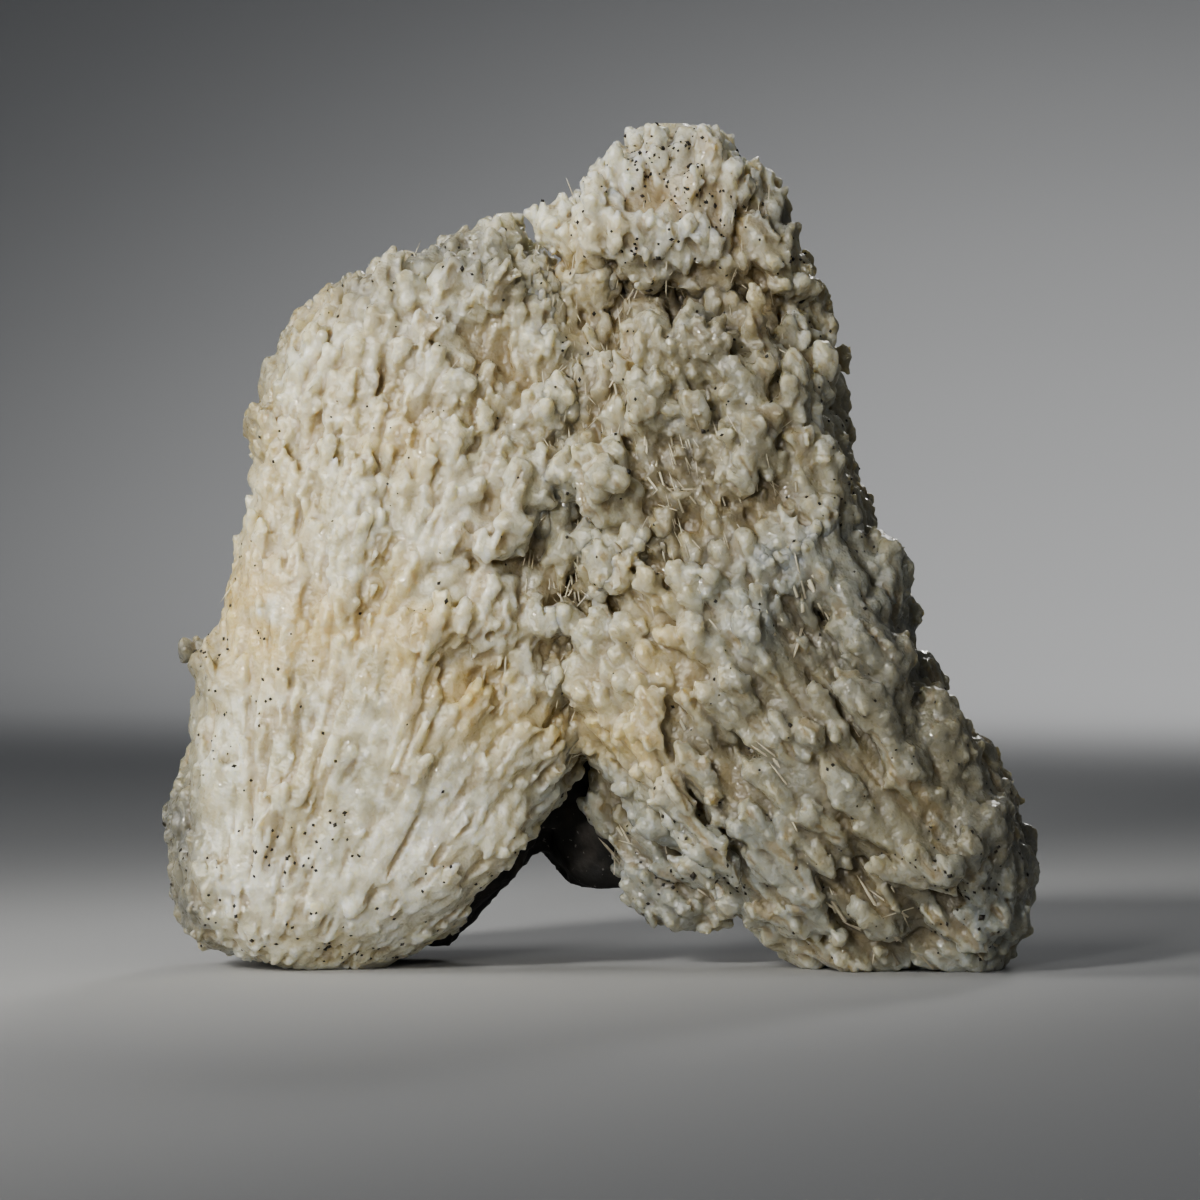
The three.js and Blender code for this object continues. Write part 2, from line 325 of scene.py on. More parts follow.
def solid_field(node, step):
    """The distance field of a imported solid."""
    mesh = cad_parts[node].data
    points = np.empty(len(mesh.vertices) * 3, np.float32)
    mesh.vertices.foreach_get("co", points)
    mesh.calc_loop_triangles()
    corners = np.empty(len(mesh.loop_triangles) * 3, np.int32)
    mesh.loop_triangles.foreach_get("vertices", corners)
    points = points.reshape(-1, 3) / MM
    places, index = np.unique(np.round(points, 3), axis=0, return_inverse=True)
    faces = index.ravel()[corners].reshape(-1, 3).astype(np.uint32)
    grid = openvdb.FloatGrid.createLevelSetFromPolygons(
        places.astype(np.float32), triangles=faces,
        transform=openvdb.createLinearTransform(step), halfWidth=FAR / step)
    low, high = places.min(0) - FAR, places.max(0) + FAR
    field = Field(low, high, step)
    grid.copyToArray(field.values, ijk=tuple(int(i) for i in field.first))
    return field


def stamp(field, root, tip, thin, belly, outward, flatness, blend):
    """Joins one stalk to a field: thin at its root, fat and round at its tip, and flatter along outward."""
    reach = max(thin, belly) + blend + field.step
    low = np.minimum(root, tip) - reach
    high = np.maximum(root, tip) + reach
    first = np.maximum(np.floor(low / field.step).astype(int) - field.first, 0)
    last = np.minimum(np.ceil(high / field.step).astype(int) - field.first + 1, field.values.shape)
    if np.any(last <= first):
        return
    lines = [(np.arange(first[a], last[a]) + field.first[a]) * field.step - root[a] for a in range(3)]
    x, y, z = np.ix_(*[line.astype(np.float32) for line in lines])
    axis = tip - root
    length = max(float(np.linalg.norm(axis)), 1e-6)
    axis = (axis / length).astype(np.float32)
    t = np.clip((x * axis[0] + y * axis[1] + z * axis[2]) / length, 0, 1)
    run = t * length
    dx, dy, dz = x - run * axis[0], y - run * axis[1], z - run * axis[2]
    square = dx * dx + dy * dy + dz * dz
    if flatness != 1:
        out = dx * outward[0] + dy * outward[1] + dz * outward[2]
        square = square + (flatness * flatness - 1) * out * out
    distance = np.sqrt(square) - (thin + (belly - thin) * t)
    window = tuple(slice(a, b) for a, b in zip(first, last))
    field.values[window] = smooth_min(field.values[window], distance.astype(np.float32), blend)


def spread(points, spacing, along, stretch):
    """Picks points that keep their spacing, and stretch times as much along the grain."""
    order = rng.permutation(len(points))
    cell = float((spacing * stretch).max())
    taken = {}
    picked = []
    for i in order:
        p = points[i]
        key = tuple(np.floor(p / cell).astype(int))
        near = []
        for step in np.ndindex(3, 3, 3):
            near += taken.get((key[0] + step[0] - 1, key[1] + step[1] - 1, key[2] + step[2] - 1), ())
        if near:
            gap = points[near] - p
            run = gap @ along[i]
            square = (gap * gap).sum(1) - run * run * (1 - 1 / stretch[i] ** 2)
            if square.min() < spacing[i] ** 2:
                continue
        taken.setdefault(key, []).append(i)
        picked.append(i)
    return np.array(picked)


# The lobes: each is meshed as one closed piece. Its low and high corner bound it. Each of its cuts is above
# zero on the far side of a seam with its neighbour, and rounds the edge there so far.
SEAM_OVERLAP = 2.5
SEAM_BARE = 0.6
HEAD_FOOT = 90.5
LEG_TOP = 54.0


def left_of_valley(x, y, z):
    return x - valley_at(z) - SEAM_OVERLAP


def right_of_valley(x, y, z):
    return valley_at(z) - SEAM_OVERLAP - x


def above_leg(x, y, z):
    return LEG_TOP - 1 - z + 0.3 * (x - 10) + 3 * np.sin(x / 5.3) + 1.5 * np.sin(x / 1.9 + y / 3)


def below_leg_top(x, y, z):
    return -above_leg(x, y, z) - 2


def below_head(x, y, z):
    return z - HEAD_FOOT - 1


def above_head_foot(x, y, z):
    return HEAD_FOOT - 1 - z


LOBES = {
    "left_sheaf": {
        "low": (-61, -32, -1), "high": (14, 20, 101),
        "cuts": [(left_of_valley, 4)], "triangles": 195000,
    },
    "right_bulge": {
        "low": (-14, -32, LEG_TOP - 18), "high": (40, 20, HEAD_FOOT + 6),
        "cuts": [(right_of_valley, 4), (above_leg, 0.5), (below_head, 2)], "triangles": 190000,
    },
    "right_leg": {
        "low": (-16, -32, -1), "high": (61, 20, LEG_TOP + 18),
        "cuts": [(right_of_valley, 4), (below_leg_top, 0.5)], "triangles": 195000,
    },
    "head": {
        "low": (-16, -32, HEAD_FOOT - 8), "high": (34, 20, 116),
        "cuts": [(right_of_valley, 4), (above_head_foot, 2)], "triangles": 90000,
    },
}


def floor_between_stalks(form):
    """The surface that the stalks grow from: the form, sunk in places, with its swells, ribs and lumps."""
    floor = form.copied()
    x, y, z = floor.axes()
    for zone, share in shares_at(x, y, z).items():
        floor.values += ZONES[zone]["inset"] * share
    front = smoothstep(14, 8, y)
    for hx, hz, reach, depth in HOLLOWS:
        floor.values += depth * front * np.exp(-((x - hx) ** 2 + (z - hz) ** 2) / reach**2)
    near = np.abs(form.values) < 5
    places = np.argwhere(near)
    points = (places + floor.first) * floor.step
    for wavelength, height in SWELLS:
        floor.values[near] += height * noise(points, wavelength)
    shares = shares_at(*points.T)
    for heights, relief in ((RIBS, streak_at(points, RIB_WIDTH)), (LUMPS, noise(points, LUMP_WIDTH))):
        height = sum(heights[zone] * share for zone, share in shares.items())
        floor.values[near] += height * (CREST_SHARE - np.abs(relief))
    return floor


def lobe_base(floor, lobe):
    """One lobe without its stalks."""
    field = floor.resampled(lobe["low"], lobe["high"], FINE_STEP)
    x, y, z = field.axes()
    for cut, rounding in lobe["cuts"]:
        field.values = smooth_max(field.values, cut(x, y, z).astype(np.float32), rounding)
    return field


# The calcite grew in three generations, each on the one before: long stalks, knobs, and crumbs.
# Each zone has its own. Inset is how deep the floor between the stalks lies under the form. A pair is a
# range, and tilt is in degrees off the surface. Floor is the least height above the floor at which a stalk
# starts, and sunk is how deep it sits in what it grows on, as a share of its belly.
ZONES = {
    "scales": {"inset": 1.1, "stalks": [
        {"spacing": 2.4, "stretch": 2.3, "belly": (0.9, 1.7), "length": (5, 12), "tilt": (3, 10),
         "thin": 0.6, "flatness": 1.5, "blend": 0.7, "floor": -1, "wander": 0.3, "sunk": 0.22},
        {"spacing": 1.6, "stretch": 1.6, "belly": (0.5, 1.1), "length": (1.2, 4), "tilt": (3, 16),
         "thin": 0.75, "flatness": 1.1, "blend": 0.45, "floor": -1, "wander": 0.4, "sunk": 0.3},
        {"spacing": 1.05, "stretch": 1.5, "belly": (0.32, 0.65), "length": (0.4, 2.0), "tilt": (4, 16),
         "thin": 0.7, "flatness": 1, "blend": 0.3, "floor": 0.4, "wander": 0.5, "sunk": 0.3},
    ]},
    "smooth": {"inset": 0.6, "stalks": [
        {"spacing": 3.0, "stretch": 3.0, "belly": (1.1, 2.1), "length": (7, 16), "tilt": (1, 4),
         "thin": 0.7, "flatness": 2.0, "blend": 0.9, "floor": -1, "wander": 0.2, "sunk": 0.35},
        {"spacing": 1.9, "stretch": 2.5, "belly": (0.4, 1.0), "length": (2, 6), "tilt": (0, 6),
         "thin": 0.8, "flatness": 1.5, "blend": 0.4, "floor": -1, "wander": 0.3, "sunk": 0.4},
        {"spacing": 1.4, "stretch": 2.2, "belly": (0.3, 0.55), "length": (0.8, 3), "tilt": (1, 8),
         "thin": 0.7, "flatness": 1.1, "blend": 0.25, "floor": 0, "wander": 0.3, "sunk": 0.4},
    ]},
    "bulge": {"inset": 2.3, "stalks": [
        {"spacing": 2.5, "stretch": 2.2, "belly": (1.1, 2.1), "length": (5, 10), "tilt": (8, 32),
         "thin": 0.6, "flatness": 1, "blend": 1.3, "floor": -1, "wander": 0.5, "sunk": 0.1},
        {"spacing": 1.9, "stretch": 1.6, "belly": (0.6, 1.3), "length": (0.8, 3.2), "tilt": (5, 28),
         "thin": 0.7, "flatness": 1, "blend": 0.7, "floor": 0.6, "wander": 0.6, "sunk": 0.5},
        {"spacing": 1.4, "stretch": 1.5, "belly": (0.28, 0.55), "length": (0.3, 1.6), "tilt": (0, 26),
         "thin": 0.7, "flatness": 1, "blend": 0.4, "floor": 0.6, "wander": 0.8, "sunk": 0.4},
    ]},
    "columns": {"inset": 1.7, "stalks": [
        {"spacing": 2.1, "stretch": 5.5, "belly": (0.9, 1.8), "length": (12, 26), "tilt": (0, 4),
         "thin": 0.7, "flatness": 1.1, "blend": 0.6, "floor": -1, "wander": 0.1, "sunk": 0.15},
        {"spacing": 2.3, "stretch": 2.0, "belly": (0.8, 1.5), "length": (1.5, 5), "tilt": (3, 14),
         "thin": 0.6, "flatness": 1, "blend": 0.6, "floor": 1.0, "wander": 0.2, "sunk": 0.45},
        {"spacing": 1.3, "stretch": 2.2, "belly": (0.28, 0.55), "length": (0.6, 3), "tilt": (2, 12),
         "thin": 0.7, "flatness": 1, "blend": 0.35, "floor": 0.4, "wander": 0.2, "sunk": 0.35},
    ]},
    "side": {"inset": 0.8, "stalks": [
        {"spacing": 3.6, "stretch": 1.8, "belly": (1.3, 2.4), "length": (3, 8), "tilt": (2, 10),
         "thin": 0.75, "flatness": 1.5, "blend": 1.3, "floor": -1, "wander": 0.4, "sunk": 0.3},
        {"spacing": 2.2, "stretch": 1.3, "belly": (0.6, 1.2), "length": (0.6, 1.8), "tilt": (5, 25),
         "thin": 0.85, "flatness": 1.1, "blend": 0.8, "floor": -1, "wander": 0.6, "sunk": 0.55},
        {"spacing": 1.5, "stretch": 1.3, "belly": (0.35, 0.6), "length": (0.3, 1.5), "tilt": (0, 20),
         "thin": 0.9, "flatness": 1, "blend": 0.3, "floor": 0.3, "wander": 0.8, "sunk": 0.4},
    ]},
}
GENERATIONS = 3
CANDIDATES = 26000
SIZE_SPREAD = 0.55  # how much coarser or finer than its zone a patch of stalks can be
SIZE_PATCH = 8.0
FITTINGS = 5  # how often a stalk whose ends stand off the surface is made shorter
FITTING_SHARE = 0.6
ROOT_SHOWS = (0.2, 0.04)  # how far a root may stand off, and more with its stalk's length
TIP_SHOWS = (0.4, 0.5)  # how far a tip may stand off, and more with the height that its tilt gives


def values_at(points, generation):
    """The values of a generation of stalks at points, mixed from those of the zones."""
    shares = shares_at(*points.T)
    values = {}
    for key in ZONES["side"]["stalks"][generation]:
        values[key] = 0
        for zone, share in shares.items():
            entry = np.array(ZONES[zone]["stalks"][generation][key], float)
            values[key] = values[key] + np.multiply.outer(share, entry)
    return values


def along_surface(points, outward):
    """The run of the stalks laid on the surface, shorter where the surface faces along it."""
    grain = grain_at(points[:, 0], points[:, 2])
    return grain - outward * (grain * outward).sum(1, keepdims=True)


def grow(field, base, rock, lobe, generation):
    """Joins one generation of stalks to a lobe."""
    points, _, _ = field.surface()
    points = points[(rock.at(points) > ROCK_BARE) & (points[:, 2] > FOOT_BARE)]
    points = points[rng.permutation(len(points))[:CANDIDATES]]
    for cut, _ in lobe["cuts"]:
        points = points[cut(*points.T) < -SEAM_BARE]
    value = values_at(points, generation)
    high = base.at(points) > value["floor"] * (0.8 + 0.4 * rng.random(len(points)))
    points = points[high]
    outward = field.normals_at(points)
    along = along_surface(points, outward)
    size = 1 + SIZE_SPREAD * noise(points, SIZE_PATCH)
    picked = spread(points, value["spacing"][high] * size, unit(along), value["stretch"][high])
    points, outward, along, size = points[picked], outward[picked], along[picked], size[picked]
    value = {key: entry[high][picked] for key, entry in value.items()}
    belly = between(value["belly"].T, rng.random(len(points))) * size
    tilt = np.radians(between(value["tilt"].T, rng.random(len(points))))[:, None]
    length = between(value["length"].T, rng.random(len(points)))
    turn = unit(unit(along) + value["wander"][:, None] * (rng.random((len(points), 3)) - 0.5))
    axis = unit(turn * np.cos(tilt) + outward * np.sin(tilt))
    middle = points - (value["sunk"] * belly)[:, None] * outward
    for _ in range(FITTINGS):
        root = middle - 0.5 * length[:, None] * axis
        tip = middle + 0.5 * length[:, None] * axis
        loose = field.at(root) > ROOT_SHOWS[0] + ROOT_SHOWS[1] * length
        loose |= field.at(tip) > TIP_SHOWS[0] + TIP_SHOWS[1] * length * np.sin(tilt[:, 0])
        length = np.where(loose, FITTING_SHARE * length, length)
    low, high = cad_low + EDGE + belly[:, None], cad_high - EDGE - belly[:, None]
    inside = np.all(tip[:, :2] > low[:, :2], axis=1) & np.all(tip < high, axis=1)
    thin = value["thin"] * belly
    for i in np.flatnonzero(inside):
        stamp(field, root[i], tip[i], thin[i], belly[i], outward[i], value["flatness"][i], value["blend"][i])


def between(ends, share):
    return ends[0] + (ends[1] - ends[0]) * share


def make_mesh(name, points, triangles, quads=(), attributes=None, smooth=True):
    """An object from points in millimetres."""
    mesh = bpy.data.meshes.new(name)
    triangles = np.asarray(triangles, np.int32).reshape(-1, 3)
    quads = np.asarray(quads, np.int32).reshape(-1, 4)
    loops = np.concatenate([triangles.ravel(), quads.ravel()])
    starts = np.concatenate([
        np.arange(len(triangles)) * 3,
        len(triangles) * 3 + np.arange(len(quads)) * 4,
    ])
    mesh.vertices.add(len(points))
    mesh.vertices.foreach_set("co", (np.asarray(points) * MM).astype(np.float32).ravel())
    mesh.loops.add(len(loops))
    mesh.loops.foreach_set("vertex_index", loops)
    mesh.polygons.add(len(starts))
    mesh.polygons.foreach_set("loop_start", starts.astype(np.int32))
    mesh.update(calc_edges=True)
    if smooth:
        mesh.shade_smooth()
    for label, values in (attributes or {}).items():
        layer = mesh.attributes.new(label, "FLOAT", "POINT")
        layer.data.foreach_set("value", np.asarray(values, np.float32))
    thing = bpy.data.objects.new(name, mesh)
    bpy.context.scene.collection.objects.link(thing)
    return thing


# Where the calcite is stained amber, cloudy white, smoke grey or clear and bluish, as (x, z, reach, strength)
# on the front. Many of the smoke and bluish blobs are painted shade as well: under the head, in the shadow
# below the bulge, down the right leg and in the hollow between the feet. The edges of these stains drift this
# far.
TINTS = {
    "amber": [
        (-19, 38, 6, 1.0), (-41, 45, 8, 0.9), (-30, 41, 6, 0.7), (-50, 50, 8, 0.7), (-24, 50, 6, 0.5),
        (-36, 92, 8, 0.5), (-26, 70, 8, 0.4), (-6, 34, 5, 0.8), (2, 31, 5, 0.8), (-42, 66, 7, 0.4),
        (8, 42, 6, 0.5), (6, 48, 5, 0.35), (20, 88, 7, 0.5), (0, 92, 7, 0.4), (-47, 74, 6, 0.3),
    ],
    "white": [
        (-45, 12, 6, 1.0), (-39, 50, 5, 0.9), (-28, 14, 9, 0.7), (-20, 23, 7, 0.6), (-16, 55, 6, 0.6),
        (-18, 62, 5, 0.6), (-24, 84, 6, 0.5), (9, 104, 11, 0.9),
    ],
    "smoke_and_painted_shade": [
        (-22, 98, 6, 1.0), (-33, 92, 5, 0.8), (-14, 95, 4, 0.6), (-59, 21, 5, 1.0), (-59, 10, 5, 1.0),
        (-56, 57, 4, 0.8), (-58, 43, 4, 1.0), (26, 99, 4, 0.8), (9, 112, 4, 0.4), (55, 20, 8, 0.6),
        (40, 42, 10, 0.4), (8, 6, 8, 0.5), (24, 52, 7, 0.3), (6, 90, 7, 0.45), (17, 89, 7, 0.4),
        (-48, 72, 3, 0.4), (16, 80, 9, 0.25), (24, 66, 8, 0.25), (22, 36, 8, 0.2), (-4, 62, 4, 0.3),
    ],
    # Clear bluish calcite, and painted shade below the bulge and in the hollow between the feet.
    "bluish_and_painted_shade": [
        (22, 20, 5, 0.6), (30, 25, 5, 0.5), (16, 46, 6, 0.7), (26, 8, 6, 0.7), (8, 13, 11, 1.0),
        (-3, 24, 5, 0.9), (52, 8, 9, 0.8), (44, 3, 8, 0.6), (36, 50, 8, 0.6), (23, 52, 7, 0.8),
    ],
}
TINT_DRIFT = 3
TINT_DRIFT_WIDTH = 11

# How strongly painted shade darkens two zones below the head, where the sides, which turn away
# from the front, count as 1. It fades out between these two heights.
PAINTED_SHADE_ZONES = {"columns": 0.82, "bulge": 0.6}
PAINTED_SHADE_TOP = (94, 82)


def tints_at(points):
    x, y, z = points.T
    drift = TINT_DRIFT * noise(points, TINT_DRIFT_WIDTH)
    tints = {}
    for name, blobs in TINTS.items():
        total = 0
        for bx, bz, reach, strength in blobs:
            total = total + strength * np.exp(-((x + drift - bx) ** 2 + (z - drift - bz) ** 2) / reach**2)
        tints[name] = np.minimum(total, 1)
    shares = shares_at(x, y, z)
    # Painted shade: full on the sides, and part strength on the columns and bulge below the head.
    zone_shade = sum(painted_shade * shares[zone] for zone, painted_shade in PAINTED_SHADE_ZONES.items())
    tints["painted_shade"] = np.minimum(shares["side"] + zone_shade * smoothstep(*PAINTED_SHADE_TOP, z), 1)
    return tints


# Single forms that the photograph shows: the crystal with a point, the knobs that stand out at the edges and
# the knob beside the head. Each starts from the surface that is nearest to the front or to a side.
LANDMARKS = [
    {"lobe": "right_bulge", "from": "front", "x": 20.5, "z": 85.5, "root": (0, 0.5, -1),
     "tip": (-0.4, -2.2, 5.8), "thin": 1.9, "belly": 0.2},
    {"lobe": "right_bulge", "from": "right", "z": 82, "root": (-2, 0, 0), "tip": (0.4, -0.5, 0.3),
     "thin": 1.4, "belly": 1.6},
    {"lobe": "left_sheaf", "from": "left", "z": 43.5, "root": (2, 0, 0), "tip": (-1.0, -0.5, -0.3),
     "thin": 1.3, "belly": 1.3},
    {"lobe": "left_sheaf", "from": "left", "z": 21.5, "root": (2, 0, 1), "tip": (-0.4, -0.5, -0.5),
     "thin": 1.2, "belly": 1.5},
    {"lobe": "head", "from": "left", "z": 100, "root": (2, 0, -2), "tip": (0.4, -1, 0.4),
     "thin": 1.8, "belly": 2.0},
]
TOWARDS = {"front": (0, -1, 0), "left": (-1, 0, 0), "right": (1, 0, 0)}


def add_landmarks(field, name):
    points, _, _ = field.surface()
    for mark in LANDMARKS:
        if mark["lobe"] != name:
            continue
        near = np.abs(points[:, 2] - mark["z"]) < 1
        if mark["from"] == "front":
            near &= np.abs(points[:, 0] - mark["x"]) < 1
        start = max(points[near], key=lambda point: point @ np.array(TOWARDS[mark["from"]]))
        root, tip = start + mark["root"], start + mark["tip"]
        stamp(field, root, tip, mark["thin"], mark["belly"], (0, 0, 1), 1, 0.6)


def lobe_piece(name, form, floor, rock, skins):
    """One lobe as a mesh. Its surface, as points with their outward run and depth, is added to skins."""
    lobe = LOBES[name]
    field = lobe_base(floor, lobe)
    base = field.copied()
    for generation in range(GENERATIONS):
        grow(field, base, rock, lobe, generation)
        if generation == 0:
            add_landmarks(field, name)
    x, y, z = field.axes()
    field.values = np.maximum(field.values, -z)
    points, triangles, quads = field.surface()
    hollow = field.blurred(CAVITY_BLUR).at(points)
    depth = form.at(points)
    outward = field.normals_at(points)
    streak = sum(share * streak_at(points, width) for width, share in STREAK_WIDTHS)
    slit = smoothstep(*SLIT_ENDS, -streak)
    core = 0.5 - cells_at(points * CELL_SHAPE, CELL_SIZE)
    shares = shares_at(*points.T)
    lively = 1
    for zone, calm in CALM.items():
        lively = lively - calm * shares[zone]
    crust = lively * (STREAK_HEIGHT * streak + CRYSTAL_HEIGHT * core)
    crust = crust - SLIT_DEPTH * slit + FINE_HEIGHT * noise(points, FINE_WIDTH)
    points = points + outward * crust[:, None]
    points = np.clip(points, cad_low, cad_high)
    shown = rng.permutation(np.flatnonzero(seen_from_outside(points, lobe, rock)))[:SKIN_SAMPLES]
    skins.append((points[shown], outward[shown], depth[shown]))
    piece = make_mesh(name, points, triangles, quads, {
        "hollow": hollow, "slit": slit, "core": core, "depth": depth, **tints_at(points)})
    return thinned(piece, lobe["triangles"])


def seen_from_outside(points, lobe, rock):
    shown = (rock.at(points) > ROCK_BARE) & (points[:, 2] > 1)
    for cut, _ in lobe["cuts"]:
        shown &= cut(*points.T) < -2 * SEAM_BARE
    return shown


def tapered(root, tip, width, thickness, across):
    """Closed four-sided prisms that run to a point, as points, triangles and quads."""
    run = unit(tip - root)
    side = unit(across - run * (across * run).sum(1, keepdims=True))
    up = np.cross(run, side)
    shoulder = root + (tip - root) * (0.6 + 0.3 * rng.random((len(root), 1)))
    rings = []
    for middle, scale in ((root, 1.0), (shoulder, 0.75)):
        for a, b in ((1, 0), (0, 1), (-1, 0), (0, -1)):
            rings.append(middle + scale * (a * side * width[:, None] + b * up * thickness[:, None]) / 2)
    points = np.stack([*rings, tip], axis=1)
    triangles = [(4, 5, 8), (5, 6, 8), (6, 7, 8), (7, 4, 8)]
    quads = [(3, 2, 1, 0), (0, 1, 5, 4), (1, 2, 6, 5), (2, 3, 7, 6), (3, 0, 4, 7)]
    starts = (np.arange(len(root)) * 9)[:, None, None]
    return points.reshape(-1, 3), (starts + np.array(triangles)), (starts + np.array(quads))


# Needles stand in the hollows all over, more of them in some zones. Blades are broader and lie side by side
# in sprays, each as (x, z, how many, shortest, longest, reach).
NEEDLES = 1000
NEEDLE_ZONES = {"scales": 0.9, "bulge": 1.0, "columns": 0.4, "smooth": 0.15, "side": 0.05}
NEEDLE_DEPTHS = (-0.7, -1.9)  # none above the first of these depths, and most below the second
NEEDLE_LENGTHS = (2.5, 7.0)
NEEDLE_WIDTHS = (0.18, 0.36)
NEEDLE_TILTS = (0, 8)
NEEDLE_THICKNESS = 0.6  # as a share of its width
NEEDLE_WANDER = 0.12
NEEDLES_DOWN = 0.3  # the share of the needles that point down
BLADE_DEPTH = -0.8
BLADE_WIDTHS = (0.35, 0.8)
BLADE_THICKNESSES = (0.2, 0.35)
LOWEST_NEEDLE = 3
SPRAYS = [
    (38, 7, 14, 5, 11, 5), (30, 12, 8, 5, 10, 4), (7, 13, 14, 4, 9, 6), (13, 6, 6, 3, 6, 4),
    (28, 52, 12, 3, 7, 3), (22, 45, 6, 3, 8, 4), (0, 54, 6, 3, 7, 4), (12, 30, 7, 4, 10, 6),
    (50, 6, 6, 3, 7, 3), (24, 25, 6, 4, 10, 6), (8, 66, 6, 3, 6, 4), (-16, 40, 8, 3, 6, 4),
]


def needle_piece(skins):
    """The needles and blades, in the hollows between the stalks."""
    points, outward, depth = (np.concatenate(part) for part in zip(*skins))
    shares = shares_at(*points.T)
    weight = sum(NEEDLE_ZONES[zone] * share for zone, share in shares.items())
    weight = weight * smoothstep(*NEEDLE_DEPTHS, depth) * (points[:, 2] > LOWEST_NEEDLE)
    chosen = rng.choice(len(points), NEEDLES, replace=False, p=weight / weight.sum())
    length = rng.uniform(*NEEDLE_LENGTHS, len(chosen))
    width = rng.uniform(*NEEDLE_WIDTHS, len(chosen))
    thickness = NEEDLE_THICKNESS * width
    for sx, sz, count, shortest, longest, reach in SPRAYS:
        gap = (points[:, 0] - sx) ** 2 + (points[:, 2] - sz) ** 2
        near = (gap < reach * reach) & (outward[:, 1] < -0.2)
        near &= (points[:, 2] > LOWEST_NEEDLE) & (depth < BLADE_DEPTH)
        near = rng.permutation(np.flatnonzero(near))[:count]
        chosen = np.append(chosen, near)
        length = np.append(length, rng.uniform(shortest, longest, len(near)))
        width = np.append(width, rng.uniform(*BLADE_WIDTHS, len(near)))
        thickness = np.append(thickness, rng.uniform(*BLADE_THICKNESSES, len(near)))
    points, outward = points[chosen], outward[chosen]
    tilt = np.radians(rng.uniform(*NEEDLE_TILTS, len(chosen)))[:, None]
    turn = unit(unit(along_surface(points, outward)) + NEEDLE_WANDER * (rng.random(points.shape) - 0.5))
    turn = turn * np.where(rng.random((len(points), 1)) < NEEDLES_DOWN, -1, 1)
    run = unit(turn * np.cos(tilt) + outward * np.sin(tilt))
    root = points - 0.4 * outward - 0.45 * length[:, None] * run
    tip = points - 0.1 * outward + 0.55 * length[:, None] * run
    fits = np.all((tip > cad_low + 0.5) & (tip < cad_high - 0.5) & (root > cad_low + 0.5), axis=1)
    root, tip, width, thickness, outward = (part[fits] for part in (root, tip, width, thickness, outward))
    across = np.cross(tip - root, outward) + 0.5 * (rng.random(root.shape) - 0.5)
    return make_mesh("needles", *tapered(root, tip, width, thickness, across), smooth=False)


# Black grains lie all over, and thickly in places, as (x, z, reach, strength).
GRAINS = 1700
GRAIN_SIZES = (0.12, 0.30)
GRAIN_LENGTHS = (0.8, 1.6)
BIG_GRAINS = 0.08  # the share of the grains that are this much bigger
BIG_GRAIN = 1.7
GRAIN_PLACES = [
    (-52, 14, 7, 6), (-50, 34, 8, 4), (-46, 46, 7, 3), (-38, 3, 12, 5), (-38, 20, 5, 2), (-24, 5, 6, 2),
    (8, 8, 7, 5), (2, 104, 8, 2), (12, 104, 7, 2), (26, 97, 5, 2), (33, 62, 8, 1.5), (34, 30, 14, 1.5),
    (50, 12, 9, 2.5), (20, 14, 10, 1), (-27, 93, 9, 3), (-6, 88, 6, 1), (8, 80, 10, 1),
]


def grain_piece(skins):
    """The black grains, as small octahedra half sunk in the calcite."""
    points, outward, _ = (np.concatenate(part) for part in zip(*skins))
    weight = np.full(len(points), 0.35)
    for gx, gz, reach, strength in GRAIN_PLACES:
        weight += strength * np.exp(-((points[:, 0] - gx) ** 2 + (points[:, 2] - gz) ** 2) / reach**2)
    weight *= 0.15 + 2 * np.maximum(noise(points, 4), 0)
    chosen = rng.choice(len(points), GRAINS, replace=False, p=weight / weight.sum())
    points, outward = points[chosen], outward[chosen]
    size = rng.uniform(*GRAIN_SIZES, (len(points), 1))
    size = size * np.where(rng.random((len(points), 1)) < BIG_GRAINS, BIG_GRAIN, 1)
    side = unit(np.cross(outward, rng.normal(size=points.shape)))
    over = np.cross(outward, side)
    middle = points + 0.02 * outward
    stretch = rng.uniform(*GRAIN_LENGTHS, (len(points), 1))
    corners = [middle + size * stretch * side, middle + size * over, middle - size * stretch * side,
               middle - size * over, middle + 0.7 * size * outward, middle - size * outward]
    corners = np.clip(np.stack(corners, axis=1).reshape(-1, 3), cad_low, cad_high)
    faces = [(0, 1, 4), (1, 2, 4), (2, 3, 4), (3, 0, 4), (1, 0, 5), (2, 1, 5), (3, 2, 5), (0, 3, 5)]
    triangles = (np.arange(len(points)) * 6)[:, None, None] + np.array(faces)
    return make_mesh("grains", corners, triangles, smooth=False)


def rock_piece(rock):
    """The rock, broken and rough, from its solid."""
    low, high = rock.first * rock.step, (rock.first + rock.values.shape) * rock.step
    field = rock.blurred(0.7).resampled(low, high, ROCK_STEP)
    near = np.abs(field.values) < 3
    points = (np.argwhere(near) + field.first) * field.step
    broken = 0.9 * np.abs(noise(points, 5)) + 0.6 * np.abs(noise(points, 2.4))
    broken = broken + 0.3 * noise(points, 1.1)
    field.values[near] += (0.1 + broken).astype(np.float32)
    x, y, z = field.axes()
    field.values = np.maximum(field.values, -z)
    points, triangles, quads = field.surface()
    points = np.clip(points, cad_low, cad_high)
    return thinned(make_mesh("rock", points, triangles, quads), ROCK_TRIANGLES)


def thinned(piece, most):
    """Takes triangles out where the surface is smooth, until there are at most this many."""
    count = sum(len(face.vertices) - 2 for face in piece.data.polygons)
    if count > most:
        thin = piece.modifiers.new("thin", "DECIMATE")
        thin.ratio = most / count
        shown = piece.evaluated_get(bpy.context.evaluated_depsgraph_get())
        mesh = bpy.data.meshes.new_from_object(shown)
        points = np.empty(len(mesh.vertices) * 3, np.float32)
        mesh.vertices.foreach_get("co", points)
        points = np.clip(points.reshape(-1, 3), cad_low * MM, cad_high * MM)
        mesh.vertices.foreach_set("co", points.astype(np.float32).ravel())
        mesh.update()
        piece.modifiers.clear()
        piece.data = mesh
    return piece


